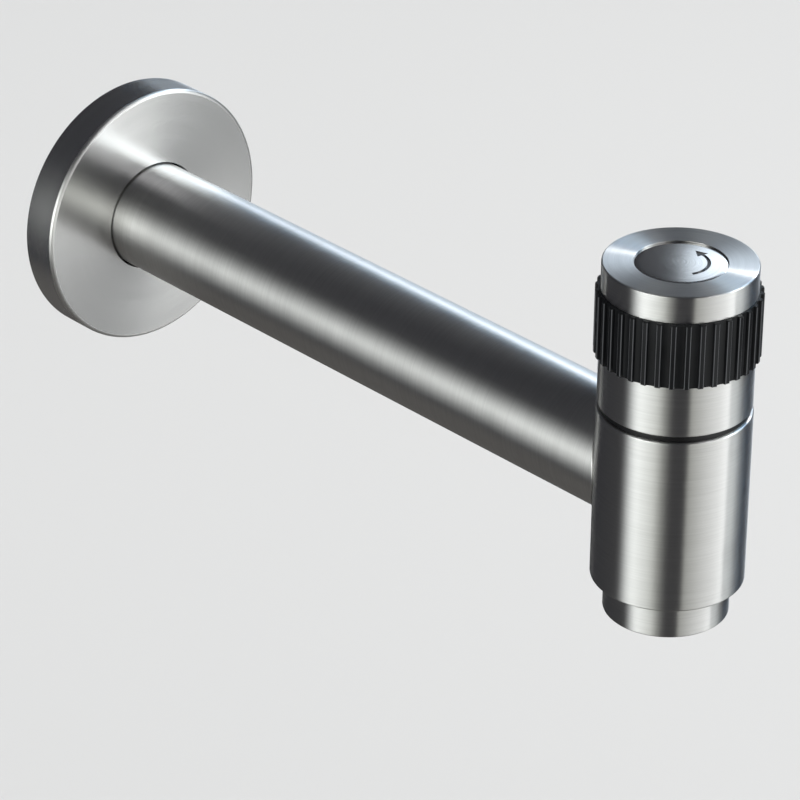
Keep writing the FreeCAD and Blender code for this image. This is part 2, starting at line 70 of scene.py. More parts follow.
flangeLow, flangeHigh = nodeBox("wall_flange")
tubeHigh = nodeBox("spout_tube")[1]
bodyLow, bodyHigh = nodeBox("head_body")
slipLow, slipHigh = nodeBox("slip_ring")
knobLow, knobHigh = nodeBox("knob_shell")
gripLow, gripHigh = nodeBox("knob_grip_ring")
discLow, discHigh = nodeBox("knob_top_disc")
collarLow, collarHigh = nodeBox("aerator_shell")
nippleLow, nippleHigh = nodeBox("inlet_nipple")

headAxis = Vector((0, (knobLow.y + knobHigh.y) / 2, 0))
bodyRadius, tubeRadius, flangeRadius = bodyHigh.x, tubeHigh.x, flangeHigh.x
knobRadius, gripRadius, discRadius, collarRadius = knobHigh.x, gripHigh.x, discHigh.x, collarHigh.x
alongTube = Matrix.Rotation(-math.pi / 2, 4, "X")     # a turned piece's height becomes +Y


# Node helpers
def addNode(tree, kind, **values):
    node = tree.nodes.new(kind)
    for name, value in values.items():
        setattr(node, name, value)
    return node


def link(tree, output, target):
    if hasattr(output, "is_linked"):
        tree.links.new(output, target)
    else:
        target.default_value = output


def mathNode(tree, operation, first, second=0.0, clamp=False):
    node = addNode(tree, "ShaderNodeMath", operation=operation, use_clamp=clamp)
    link(tree, first, node.inputs[0])
    link(tree, second, node.inputs[1])
    return node.outputs[0]


def remap(tree, value, fromLow, fromHigh, toLow, toHigh, smooth=False):
    node = addNode(tree, "ShaderNodeMapRange")
    node.interpolation_type = "SMOOTHSTEP" if smooth else "LINEAR"
    for slot, amount in zip(node.inputs, (value, fromLow, fromHigh, toLow, toHigh)):
        link(tree, amount, slot)
    return node.outputs[0]


def newGroup(name, inputs, outputs):
    group = bpy.data.node_groups.new(name, "ShaderNodeTree")
    for label, kind, value in inputs:
        socket = group.interface.new_socket(label, in_out="INPUT", socket_type=kind)
        if value is not None:
            socket.default_value = value
    for label, kind in outputs:
        group.interface.new_socket(label, in_out="OUTPUT", socket_type=kind)
    return group, group.nodes.new("NodeGroupInput").outputs, group.nodes.new("NodeGroupOutput").inputs


noiseLow, noiseHigh = 0.3, 0.7    # most of a noise lies between these


def noiseNode(tree, place, **settings):
    node = addNode(tree, "ShaderNodeTexNoise")
    link(tree, place, node.inputs["Vector"])
    for name, value in settings.items():
        link(tree, value, node.inputs[name])
    return node.outputs["Fac"]


# Fine lines left by turning and brushing round an axis: they run round it on sides and faces alike.
# Grain is the long lines, Bands their slow changes, Scratches the short ones that break a highlight's
# edge, and Slants the patches of scratches that cross the brush lines
lineLayers = {
    "Grain": {"fine": 1.0, "breaks": 1.0, "detail": 2.0, "slant": 0.0},
    "Bands": {"fine": 0.09, "breaks": 0.3, "detail": 1.0, "slant": 0.0},
    "Scratches": {"fine": 1.1, "breaks": 9.0, "detail": 1.0, "slant": 0.0},
    "Slants": {"fine": 0.4, "breaks": 3.0, "detail": 1.0, "slant": -0.4},
}
lineNoise = {"roughness": 0.6, "middle": 0.5, "patchScale": 90.0, "patchStart": 0.48, "patchFull": 0.62}


def makeTurnedLines(look):
    group, given, out = newGroup(
        "turnedLines",
        [("Place", "NodeSocketVector", None), ("Lines", "NodeSocketFloat", 2600.0),
         ("Breaks", "NodeSocketFloat", 60.0)],
        [(name, "NodeSocketFloat") for name in lineLayers],
    )
    parts = addNode(group, "ShaderNodeSeparateXYZ")
    link(group, given["Place"], parts.inputs[0])
    flat = addNode(group, "ShaderNodeCombineXYZ")
    link(group, parts.outputs["X"], flat.inputs["X"])
    link(group, parts.outputs["Y"], flat.inputs["Y"])
    radius = addNode(group, "ShaderNodeVectorMath", operation="LENGTH")
    link(group, flat.outputs[0], radius.inputs[0])
    across = mathNode(group, "ADD", radius.outputs["Value"], parts.outputs["Z"])

    def streaks(fine, breaks, detail, slant):
        lines = mathNode(group, "MULTIPLY", given["Lines"], fine)
        around = mathNode(group, "MULTIPLY", given["Breaks"], breaks)
        shifted = mathNode(group, "ADD", across, mathNode(group, "MULTIPLY", parts.outputs["X"], slant))
        point = addNode(group, "ShaderNodeCombineXYZ")
        link(group, mathNode(group, "MULTIPLY", parts.outputs["X"], around), point.inputs["X"])
        link(group, mathNode(group, "MULTIPLY", parts.outputs["Y"], around), point.inputs["Y"])
        link(group, mathNode(group, "MULTIPLY", shifted, lines), point.inputs["Z"])
        return noiseNode(group, point.outputs[0], Scale=1.0, Detail=detail, Roughness=look["roughness"])

    layers = {name: streaks(**layer) for name, layer in lineLayers.items()}
    patches = noiseNode(group, given["Place"], Scale=look["patchScale"])
    rubbed = remap(group, patches, look["patchStart"], look["patchFull"], 0.0, 1.0, smooth=True)
    crossing = mathNode(group, "SUBTRACT", layers["Slants"], look["middle"])
    layers["Slants"] = mathNode(group, "MULTIPLY", crossing, rubbed)
    for name, layer in layers.items():
        link(group, layer, out[name])
    return group


# Faint uneven patches, from handling and from drying water, and the specks of a moulded surface
handlingNoise = {
    "scale": 60.0, "patchDetail": 4.0, "distortion": 0.6, "patchStart": 0.35, "patchFull": 0.7,
    "speckFineness": 40.0, "speckDetail": 2.0,
}


def makeHandling(look):
    group, given, out = newGroup(
        "handling",
        [("Place", "NodeSocketVector", None), ("Scale", "NodeSocketFloat", look["scale"])],
        [("Patches", "NodeSocketFloat"), ("Specks", "NodeSocketFloat")],
    )
    broad = noiseNode(
        group, given["Place"], Scale=given["Scale"], Detail=look["patchDetail"],
        Distortion=look["distortion"],
    )
    patches = remap(group, broad, look["patchStart"], look["patchFull"], 0.0, 1.0, smooth=True)
    link(group, patches, out["Patches"])
    fineScale = mathNode(group, "MULTIPLY", given["Scale"], look["speckFineness"])
    fine = noiseNode(group, given["Place"], Scale=fineScale, Detail=look["speckDetail"])
    link(group, remap(group, fine, noiseLow, noiseHigh, 0.0, 1.0), out["Specks"])
    return group


turnedLines = makeTurnedLines(lineNoise)
handling = makeHandling(handlingNoise)


def useGroup(tree, group, place, **values):
    node = addNode(tree, "ShaderNodeGroup", node_tree=group)
    link(tree, place, node.inputs["Place"])
    for name, value in values.items():
        node.inputs[name].default_value = value
    return node.outputs


def startMaterial(name, color, roughness, metallic=0.0):
    material = bpy.data.materials.new(name)
    material.use_nodes = True
    material.diffuse_color = (*color, 1)
    tree = material.node_tree
    shader = tree.nodes["Principled BSDF"]
    shader.inputs["Base Color"].default_value = (*color, 1)
    shader.inputs["Roughness"].default_value = roughness
    shader.inputs["Metallic"].default_value = metallic
    return material, tree, shader


# Object coordinates measured from a piece's own axis, turned so that the axis is Z
def placeFrom(tree, centre, axis):
    coordinates = addNode(tree, "ShaderNodeTexCoord")
    mapping = addNode(tree, "ShaderNodeMapping", vector_type="TEXTURE")
    mapping.inputs["Location"].default_value = centre
    if axis == "Y":
        mapping.inputs["Rotation"].default_value = (-math.pi / 2, 0, 0)
    link(tree, coordinates.outputs["Object"], mapping.inputs["Vector"])
    return mapping.outputs[0]


mixSockets = {"first": 6, "second": 7, "mixed": 2}     # where a Mix node has its colours


def mixColors(tree, factor, first, second):
    mix = addNode(tree, "ShaderNodeMix", data_type="RGBA")
    link(tree, factor, mix.inputs["Factor"])
    for place, color in (("first", first), ("second", second)):
        linked = hasattr(color, "is_linked")
        link(tree, color if linked else (*color, 1), mix.inputs[mixSockets[place]])
    return mix.outputs[mixSockets["mixed"]]


def mixShaders(tree, factor, first, second):
    mix = addNode(tree, "ShaderNodeMixShader")
    for source, target in zip((factor, first, second), mix.inputs):
        tree.links.new(source, target)
    return mix.outputs[0]


def bump(tree, shader, height, strength, distance):
    node = addNode(tree, "ShaderNodeBump")
    node.inputs["Strength"].default_value = strength
    node.inputs["Distance"].default_value = distance
    link(tree, height, node.inputs["Height"])
    link(tree, node.outputs[0], shader.inputs["Normal"])


steelFinish = {
    "bright": (0.665, 0.66, 0.65), "dull": (0.60, 0.595, 0.585), "roughness": 0.35, "stretch": 0.93,
    "lines": 2600.0, "breaks": 60.0, "lineSpread": 0.012, "patchSpread": 0.012, "scratchDepth": 0.012 * mm,
    "slants": 0.0,
}
fineScratch = 0.004 * mm          # on the smoother pieces


# Brushed stainless steel: the brush went round the axis, so highlights spread across its lines. The faces
# that a piece marks, such as a sunk sign or a rounded edge, take the marked colour and are duller
def makeSteel(name, centre, axis, **changes):
    finish = dict(steelFinish, **changes)
    roughness, spread = finish["roughness"], finish["lineSpread"]
    material, tree, shader = startMaterial(name, finish["bright"], roughness, metallic=1.0)
    shader.inputs["Anisotropic"].default_value = finish["stretch"]
    shader.inputs["Anisotropic Rotation"].default_value = 0.25     # a quarter turn
    place = placeFrom(tree, centre, axis)
    lines = useGroup(tree, turnedLines, place, Lines=finish["lines"], Breaks=finish["breaks"])
    marks = useGroup(tree, handling, place)
    shade = remap(tree, lines["Grain"], noiseLow, noiseHigh, 0.0, 1.0)
    color = mixColors(tree, shade, finish["dull"], finish["bright"])
    rough = remap(tree, lines["Bands"], noiseLow, noiseHigh, roughness - spread, roughness + spread)
    touched = mathNode(tree, "MULTIPLY", marks["Patches"], finish["patchSpread"])
    rough = mathNode(tree, "ADD", rough, touched)
    if "markedColor" in finish:
        marked = addNode(tree, "ShaderNodeAttribute", attribute_name="marked").outputs["Fac"]
        color = mixColors(tree, marked, color, finish["markedColor"])
        rough = mathNode(tree, "ADD", rough, mathNode(tree, "MULTIPLY", marked, finish["markedRoughness"]))
    link(tree, color, shader.inputs["Base Color"])
    link(tree, rough, shader.inputs["Roughness"])
    tangent = addNode(tree, "ShaderNodeTangent", direction_type="RADIAL", axis=axis)
    link(tree, tangent.outputs[0], shader.inputs["Tangent"])
    slants = mathNode(tree, "MULTIPLY", lines["Slants"], finish["slants"])
    height = mathNode(tree, "ADD", lines["Scratches"], slants)
    bump(tree, shader, height, strength=1.0, distance=finish["scratchDepth"])
    return material


mouldedFinish = {
    "variation": 0.08, "texture": 0.15, "textureDepth": 0.02 * mm, "specular": 0.5, "scale": 60.0,
    "patchGain": 1.25, "patchLift": 0.004, "rubbed": None,
}


# Rubber and plastics: a fine moulded texture with slightly uneven gloss. The faces that a piece marks, such
# as the edges of its ribs, take a paler colour, which is a painted highlight along those edges
def makeMoulded(name, color, roughness, **changes):
    finish = dict(mouldedFinish, **changes)
    variation = finish["variation"]
    material, tree, shader = startMaterial(name, color, roughness)
    shader.inputs["Specular IOR Level"].default_value = finish["specular"]
    coordinates = addNode(tree, "ShaderNodeTexCoord")
    marks = useGroup(tree, handling, coordinates.outputs["Object"], Scale=finish["scale"])
    lighter = tuple(min(1.0, channel * finish["patchGain"] + finish["patchLift"]) for channel in color)
    shade = mixColors(tree, marks["Patches"], color, lighter)
    # marked faces take a paler colour: a painted highlight on edges
    if finish["rubbed"]:
        marked = addNode(tree, "ShaderNodeAttribute", attribute_name="marked")
        shade = mixColors(tree, marked.outputs["Fac"], shade, finish["rubbed"])
    link(tree, shade, shader.inputs["Base Color"])
    spread = remap(tree, marks["Patches"], 0.0, 1.0, roughness - variation, roughness + variation)
    link(tree, spread, shader.inputs["Roughness"])
    bump(tree, shader, marks["Specks"], finish["texture"], finish["textureDepth"])
    return material


tubeSteel = makeSteel("tubeSteel", (0, 0, 0), "Y", roughness=0.33, stretch=0.88)
flangeSteel = makeSteel(
    "flangeSteel", (0, 0, 0), "Y", roughness=0.24, stretch=0.7, dull=(0.64, 0.635, 0.625),
    scratchDepth=fineScratch, markedColor=(0.66, 0.655, 0.645), markedRoughness=0.16,
)
headSteel = makeSteel("headSteel", headAxis, "Z", roughness=0.308, stretch=1.0, slants=1.3)
discSteel = makeSteel(
    "discSteel", headAxis, "Z", roughness=0.14, stretch=0.2, scratchDepth=fineScratch,
    markedColor=(0.10, 0.10, 0.105), markedRoughness=0.25,
)
threadSteel = makeSteel(
    "threadSteel", (0, 0, 0), "Y", roughness=0.26, stretch=0.6, scratchDepth=fineScratch,
)
screwSteel = makeSteel("screwSteel", headAxis, "Z", roughness=0.26, stretch=0.4, scratchDepth=fineScratch)
brass = makeSteel(
    "brass", headAxis, "Z", roughness=0.25, stretch=0.5, bright=(0.83, 0.63, 0.31), dull=(0.72, 0.52, 0.24),
)
# the paler colour given for the marked rib edges is a painted highlight
blackRubber = makeMoulded(
    "blackRubber", (0.006, 0.0066, 0.0075), roughness=0.36, variation=0.05, specular=0.2,
    rubbed=(0.11, 0.114, 0.12),
)
blackPlastic = makeMoulded("blackPlastic", (0.003, 0.003, 0.0035), roughness=0.42, specular=0.4)
sealRubber = makeMoulded("sealRubber", (0.015, 0.015, 0.016), roughness=0.6)
whitePlastic = makeMoulded("whitePlastic", (0.75, 0.76, 0.75), roughness=0.4)
ceramic = makeMoulded("ceramic", (0.86, 0.85, 0.81), roughness=0.18, variation=0.04, texture=0.02)
print("stage: materials made")


# Mesh helpers
def addOutline(bm, points, closed=True):
    corners = [bm.verts.new((radius, 0, height)) for radius, height in points]
    first = 0 if closed else 1
    pairs = [(corners[index - 1], corners[index]) for index in range(first, len(corners))]
    return corners + [bm.edges.new(pair) for pair in pairs]


def spinRound(bm, outline, angle, steps, **more):
    bmesh.ops.spin(bm, geom=outline, cent=(0, 0, 0), axis=(0, 0, 1), angle=angle, steps=steps, **more)


def roundEdges(bm, edges, width, segments):
    return bmesh.ops.bevel(
        bm, geom=edges, offset=width, segments=segments, profile=0.5, affect="EDGES",
        clamp_overlap=True, material=-1,
    )


def onSpot(vert, spots):
    radius = math.hypot(vert.co.x, vert.co.y)
    return any(
        abs(radius - spotRadius) < 2 * hair and abs(vert.co.z - height) < 2 * hair
        for spotRadius, height in spots
    )


roundingStep = 0.3 * mm           # each of these in a rounding's width adds a segment to it


def softenRings(bm, spots, width):
    rings = [
        edge for edge in bm.edges
        if onSpot(edge.verts[0], spots) and onSpot(edge.verts[1], spots)
        and abs(edge.verts[0].co.z - edge.verts[1].co.z) < hair
    ]
    roundEdges(bm, rings, width, 2 + round(width / roundingStep))


def turnSection(section, steps):
    # section: (radius, height, rounding) round a closed outline, in metres
    bm = bmesh.new()
    outline = addOutline(bm, [(radius, height) for radius, height, rounding in section])
    spinRound(bm, outline, fullTurn, steps, use_merge=True)
    bmesh.ops.remove_doubles(bm, verts=bm.verts, dist=hair)
    bmesh.ops.recalc_face_normals(bm, faces=bm.faces)
    for rounding in sorted({corner[2] for corner in section if corner[2] > 0}):
        spots = [(radius, height) for radius, height, amount in section if amount == rounding]
        softenRings(bm, spots, rounding)
    return bm


sharpFrom = math.radians(35)      # edges that turn more than this stay crisp


# Makes the object, shades it and bakes its face-weighted normals into the mesh
def finishPiece(name, bm, material, body, slot, *nodes):
    mesh = bpy.data.meshes.new(name)
    bm.to_mesh(mesh)
    bm.free()
    mesh.shade_smooth()
    mesh.set_sharp_from_angle(angle=sharpFrom)
    piece = bpy.data.objects.new(name, mesh)
    bpy.context.scene.collection.objects.link(piece)
    weights = piece.modifiers.new("weights", "WEIGHTED_NORMAL")
    weights.keep_sharp = True
    weights.weight = 80
    evaluated = piece.evaluated_get(bpy.context.evaluated_depsgraph_get())
    baked = bpy.data.meshes.new_from_object(evaluated)
    piece.modifiers.clear()
    piece.data = baked
    bpy.data.meshes.remove(mesh)
    baked.name = name
    baked.materials.append(material)
    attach(piece, body)
    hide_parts(*nodes)


# Boolean of one mesh with others, applied at once
def combine(operation, base, *tools):
    pieces = []
    for bm in (base, *tools):
        mesh = bpy.data.meshes.new("loose")
        bm.to_mesh(mesh)
        bm.free()
        pieces.append(bpy.data.objects.new("loose", mesh))
        bpy.context.scene.collection.objects.link(pieces[-1])
    for tool in pieces[1:]:
        cut = pieces[0].modifiers.new("cut", "BOOLEAN")
        cut.operation, cut.solver, cut.object = operation, "EXACT", tool
    result = bmesh.new()
    result.from_object(pieces[0], bpy.context.evaluated_depsgraph_get())
    for piece in pieces:
        bpy.data.meshes.remove(piece.data)
    return result


def moveTo(bm, place):
    bmesh.ops.translate(bm, verts=bm.verts, vec=place)


def turnAbout(bm, angle):
    bmesh.ops.rotate(bm, verts=bm.verts, cent=(0, 0, 0), matrix=Matrix.Rotation(angle, 3, "Z"))


def layAlongTube(bm):
    bmesh.ops.transform(bm, matrix=alongTube, verts=bm.verts)


# Wall flange: a shallow turned cup with a boss inside for its sealing ring
flangeShape = {
    "skin": 1.6 * mm, "boreGap": 0.35 * mm, "bossWall": 4.0 * mm, "bossDepth": 6.6 * mm,
    "grooveWidth": 2.3 * mm, "grooveDepth": 1.35 * mm, "frontEdge": 0.85 * mm, "smallEdge": 0.2 * mm,
    "steps": 192,
}


def makeWallFlange(shape):
    front, back = flangeLow.y, flangeHigh.y
    bore = tubeRadius + shape["boreGap"]
    boss = bore + shape["bossWall"]
    bossBack = front + shape["bossDepth"]
    grooveMiddle = front + shape["bossDepth"] / 2
    grooveFront = grooveMiddle - shape["grooveWidth"] / 2
    grooveBack = grooveMiddle + shape["grooveWidth"] / 2
    groove = bore + shape["grooveDepth"]
    inner = flangeRadius - shape["skin"]
    small = shape["smallEdge"]
    bm = turnSection([
        (bore, front, small), (flangeRadius, front, shape["frontEdge"]), (flangeRadius, back, small),
        (inner, back, small), (inner, front + shape["skin"], small), (boss, front + shape["skin"], small),
        (boss, bossBack, small), (bore, bossBack, small), (bore, grooveBack, 0), (groove, grooveBack, 0),
        (groove, grooveFront, 0), (bore, grooveFront, 0),
    ], shape["steps"])
    marked = bm.faces.layers.float.new("marked")
    for face in bm.faces:
        middle = face.calc_center_median()
        inward = flangeRadius - math.hypot(middle.x, middle.y)
        if inward < shape["frontEdge"] and middle.z < front + shape["frontEdge"]:
            face[marked] = 1.0
    layAlongTube(bm)
    finishPiece("wallFlange", bm, flangeSteel, "flange", "brushed_steel", "wall_flange")


# Spout tube, cut to the head's round side. Its end is rounded, so a fine groove runs round it at the head
tubeShape = {
    "wall": 1.5 * mm, "backEdge": 0.2 * mm, "headGap": 0.02 * mm, "headEdge": 0.5 * mm, "edgeSteps": 6,
    "steps": 160,
}


def makeSpoutTube(shape):
    inner = tubeRadius - shape["wall"]
    rounded = []
    for step in range(shape["edgeSteps"] + 1):
        angle = fullTurn / 4 * step / shape["edgeSteps"]
        inward = shape["headEdge"] * (1 - math.sin(angle))
        along = shape["headEdge"] * (1 - math.cos(angle))
        rounded.append((tubeRadius - inward, headAxis.y + along, 0))
    bm = turnSection(rounded + [
        (tubeRadius, tubeHigh.y, shape["backEdge"]), (inner, tubeHigh.y, 0), (inner, headAxis.y, 0),
    ], shape["steps"])
    layAlongTube(bm)
    saddle = bodyRadius + shape["headGap"]
    for vert in bm.verts:
        fromAxis = vert.co.y - headAxis.y
        if fromAxis < shape["headEdge"] + hair:
            vert.co.y += math.sqrt(saddle ** 2 - vert.co.x ** 2)
    finishPiece("spoutTube", bm, tubeSteel, "tap", "brushed_steel", "spout_tube")


# Head body: the turned cylinder that the tube runs into
bodyShape = {
    "edge": 0.4 * mm, "threadRadius": 10.53 * mm, "chamberRadius": 11.2 * mm, "chamberTop": 6.8 * mm,
    "seat": -8.0 * mm, "seatHole": 5.5 * mm, "aeratorRadius": 12.05 * mm, "aeratorSeat": -13.5 * mm,
    "steps": 160,
}


def makeHeadBody(shape):
    edge = shape["edge"]
    top, bottom = bodyHigh.z, bodyLow.z
    bm = turnSection([
        (shape["seatHole"], shape["seat"], 0), (shape["chamberRadius"], shape["seat"], 0),
        (shape["chamberRadius"], shape["chamberTop"], 0), (shape["threadRadius"], shape["chamberTop"], 0),
        (shape["threadRadius"], top, edge / 2), (bodyRadius, top, edge), (bodyRadius, bottom, edge),
        (shape["aeratorRadius"], bottom, edge / 2), (shape["aeratorRadius"], shape["aeratorSeat"], 0),
        (shape["seatHole"], shape["aeratorSeat"], 0),
    ], shape["steps"])
    moveTo(bm, headAxis)
    finishPiece("headBody", bm, headSteel, "tap", "brushed_steel", "head_body")


# Black ring in the joint between body and knob
slipShape = {"width": 2.9 * mm, "edge": 0.2 * mm, "steps": 128}


def makeSlipRing(shape):
    outer = slipHigh.x
    inner = outer - shape["width"]
    bm = turnSection([
        (inner, slipLow.z, 0), (outer, slipLow.z, shape["edge"]),
        (outer, slipHigh.z, shape["edge"]), (inner, slipHigh.z, 0),
    ], shape["steps"])
    moveTo(bm, headAxis)
    finishPiece("slipRing", bm, blackPlastic, "tap", "black_plastic", "slip_ring")


# Knob shell: skirt, groove for the grip, band above it and a recess for the disc on top
knobShape = {
    "wall": 2.8 * mm, "bed": 1.3 * mm, "topRound": 0.35 * mm, "edge": 0.25 * mm, "web": 2.8 * mm,
    "hubRadius": 9.97 * mm, "hubBore": 8.0 * mm, "hubBottom": 32.5 * mm, "pocketTop": 42.0 * mm,
    "recess": 1.9 * mm, "discGap": 0.06 * mm, "screwSeat": 44.5 * mm, "screwPocket": 4.1 * mm,
    "screwHole": 2.2 * mm, "steps": 160,
}


def makeKnobShell(shape):
    outer = knobRadius
    bed = outer - shape["bed"]
    inner = outer - shape["wall"]
    floor = knobHigh.z - shape["recess"]
    webBottom = floor - shape["web"]
    recess = discRadius + shape["discGap"]
    bm = turnSection([
        (shape["hubBore"], shape["hubBottom"], 0), (shape["hubRadius"], shape["hubBottom"], shape["edge"]),
        (shape["hubRadius"], webBottom, 0), (inner, webBottom, 0), (inner, knobLow.z, shape["edge"] / 2),
        (outer, knobLow.z, shape["edge"]), (outer, gripLow.z, 0), (bed, gripLow.z, 0),
        (bed, gripHigh.z, 0), (outer, gripHigh.z, shape["edge"] / 3),
        (outer, knobHigh.z, shape["topRound"]), (recess, knobHigh.z, shape["edge"] / 2),
        (recess, floor, 0), (shape["screwPocket"], floor, 0),
        (shape["screwPocket"], shape["screwSeat"], 0), (shape["screwHole"], shape["screwSeat"], 0),
        (shape["screwHole"], shape["pocketTop"], 0), (shape["hubBore"], shape["pocketTop"], 0),
    ], shape["steps"])
    moveTo(bm, headAxis)
    finishPiece("knobShell", bm, headSteel, "knob", "turned_steel", "knob_shell")


# Grip ring: narrow square ribs with wide, slightly hollow flutes between them
gripShape = {
    "ribs": 36, "stepsPerRib": 18, "crestSteps": 3, "valleyRadius": 16.3 * mm, "fluteDip": 0.1 * mm,
    "bedRadius": 14.55 * mm, "endChamfer": 0.25 * mm, "edge": 0.13 * mm, "edgeSegments": 2,
    "sharpAngle": 30,
}


def ribRadius(angle, shape):
    pitch = fullTurn / shape["ribs"]
    offset = (angle / pitch + 0.5) % 1 - 0.5                 # -0.5 to 0.5, with the crest at 0
    step = round(abs(offset) * shape["stepsPerRib"])
    if step <= shape["crestSteps"]:
        return gripRadius
    valleySteps = shape["stepsPerRib"] / 2 - shape["crestSteps"] - 1
    fromMiddle = min(1, (shape["stepsPerRib"] / 2 - step) / valleySteps)
    return shape["valleyRadius"] - shape["fluteDip"] * (1 - fromMiddle ** 2)


def makeGripRing(shape):
    bottom, top, cut = gripLow.z, gripHigh.z, shape["endChamfer"]
    bm = turnSection([
        (shape["bedRadius"], bottom, 0), (gripRadius, bottom, 0), (gripRadius, bottom + cut, 0),
        (gripRadius, top - cut, 0), (gripRadius, top, 0), (shape["bedRadius"], top, 0),
    ], shape["ribs"] * shape["stepsPerRib"])
    for vert in bm.verts:
        flat = Vector((vert.co.x, vert.co.y))
        if flat.length < gripRadius - cut:
            continue
        radius = ribRadius(math.atan2(flat.y, flat.x), shape)
        if not bottom + cut / 2 < vert.co.z < top - cut / 2:
            radius = min(radius, gripRadius - cut)
        vert.co.x, vert.co.y = flat.normalized() * radius

    bm.normal_update()
    marked = bm.faces.layers.float.new("marked")

    # The long edges of the crests are rounded and marked, and take a paler colour: a painted highlight
    # along each crest edge
    def onCrest(vert):
        return math.hypot(vert.co.x, vert.co.y) > gripRadius - 10 * hair

    ribEdges = [
        edge for edge in bm.edges
        if edge.calc_face_angle(0) > math.radians(shape["sharpAngle"]) and edge.calc_length() > 2 * cut
        and onCrest(edge.verts[0]) and onCrest(edge.verts[1])
    ]
    rounded = roundEdges(bm, ribEdges, shape["edge"], shape["edgeSegments"])
    for face in rounded["faces"]:
        face[marked] = 1.0
    moveTo(bm, headAxis)
    finishPiece("knobGripRing", bm, blackRubber, "knob", "black_rubber", "knob_grip_ring")


# Top disc: slightly domed, with a curved arrow sunk into it that shows which way opens
discShape = {
    "fall": 0.34 * mm, "edge": 0.1 * mm, "rings": 9, "bossRadius": 4.0 * mm, "bossDepth": 0.25 * mm,
    "markRadius": 5.6 * mm, "markWidth": 0.75 * mm, "markDepth": 0.25 * mm, "markMiddle": -60,
    "markSweep": 105, "markSteps": 28, "headRadius": 1.6 * mm, "headAhead": 0.8 * mm, "steps": 144,
}


def makeTopDisc(shape):
    ballRadius = (discRadius ** 2 + shape["fall"] ** 2) / (2 * shape["fall"])
    bottom = discLow.z + shape["bossDepth"]

    def domeHeight(radius):
        return discHigh.z - ballRadius + math.sqrt(ballRadius ** 2 - radius ** 2)

    ringRadii = [discRadius * ring / shape["rings"] for ring in range(shape["rings"])]
    dome = [(radius, domeHeight(radius), 0) for radius in ringRadii]
    bm = turnSection([
        *dome, (discRadius, domeHeight(discRadius), shape["edge"]), (discRadius, bottom, 0),
        (shape["bossRadius"], bottom, 0), (shape["bossRadius"], discLow.z, 0), (0, discLow.z, 0),
    ], shape["steps"])
    floor = domeHeight(shape["markRadius"]) - shape["markDepth"]
    roof = discHigh.z + shape["markDepth"]
    inner, outer = (shape["markRadius"] + side * shape["markWidth"] / 2 for side in (-1, 1))
    startAngle = math.radians(shape["markMiddle"] - shape["markSweep"] / 2)
    sweep = math.radians(shape["markSweep"])

    # The arrow's shaft is a bar swept round the disc's axis, and its head is a three-sided block
    shaft = bmesh.new()
    outline = addOutline(shaft, [(inner, floor), (outer, floor), (outer, roof), (inner, roof)])
    spinRound(shaft, outline, sweep, shape["markSteps"])
    bmesh.ops.holes_fill(shaft, edges=shaft.edges, sides=4)
    bmesh.ops.recalc_face_normals(shaft, faces=shaft.faces)
    turnAbout(shaft, startAngle)
    head = bmesh.new()
    bmesh.ops.create_cone(
        head, cap_ends=True, segments=3, radius1=shape["headRadius"], radius2=shape["headRadius"],
        depth=roof - floor,
    )
    endAngle = startAngle + sweep
    shaftEnd = Vector((math.cos(endAngle), math.sin(endAngle), 0)) * shape["markRadius"]
    forward = Vector((-math.sin(endAngle), math.cos(endAngle), 0))
    turnAbout(head, endAngle)
    moveTo(head, shaftEnd + forward * shape["headAhead"] + Vector((0, 0, (roof + floor) / 2)))
    bm = combine("DIFFERENCE", bm, shaft, head)
    marked = bm.faces.layers.float.new("marked")
    for face in bm.faces:
        middle = face.calc_center_median()
        depth = domeHeight(math.hypot(middle.x, middle.y)) - middle.z
        if face.normal.z > 0 and depth > shape["markDepth"] / 2:
            face[marked] = 1.0
    moveTo(bm, headAxis)
    finishPiece("knobTopDisc", bm, discSteel, "knob", "smooth_steel", "knob_top_disc")


# Aerator shell: the narrower collar under the body
collarShape = {
    "lipRadius": 10.0 * mm, "lipHeight": 1.2 * mm, "boreRadius": 10.9 * mm, "threadRadius": 12.0 * mm,
    "edge": 0.35 * mm, "lipEdge": 0.25 * mm, "steps": 144,
}


def makeAeratorShell(shape):
    thread, bore, lip = shape["threadRadius"], shape["boreRadius"], shape["lipRadius"]
    lipTop = collarLow.z + shape["lipHeight"]
    bm = turnSection([
        (lip, collarLow.z, shape["lipEdge"]), (collarRadius, collarLow.z, shape["edge"]),
        (collarRadius, bodyLow.z, 0), (thread, bodyLow.z, 0), (thread, collarHigh.z, 0),
        (bore, collarHigh.z, 0), (bore, lipTop, 0), (lip, lipTop, 0),
    ], shape["steps"])
    moveTo(bm, headAxis)
    finishPiece("aeratorShell", bm, headSteel, "tap", "brushed_steel", "aerator_shell")


# Inlet nipple: the screwed end that goes into the wall, with a real helical thread
nippleShape = {
    "pitch": 1.814 * mm, "stepsPerTurn": 60, "crest": 0.3 * mm, "flank": 0.55 * mm, "threadDepth": 1.1 * mm,
    "chamfer": 1.2 * mm, "reliefRadius": 9.28 * mm, "reliefStart": -1.5 * mm, "shoulderStart": -4.5 * mm,
    "boreRadius": 7.0 * mm, "spigotRadius": 10.98 * mm, "edge": 0.25 * mm, "majorRadius": 10.4775 * mm,
    "steps": 120, "boreSteps": 96,
}


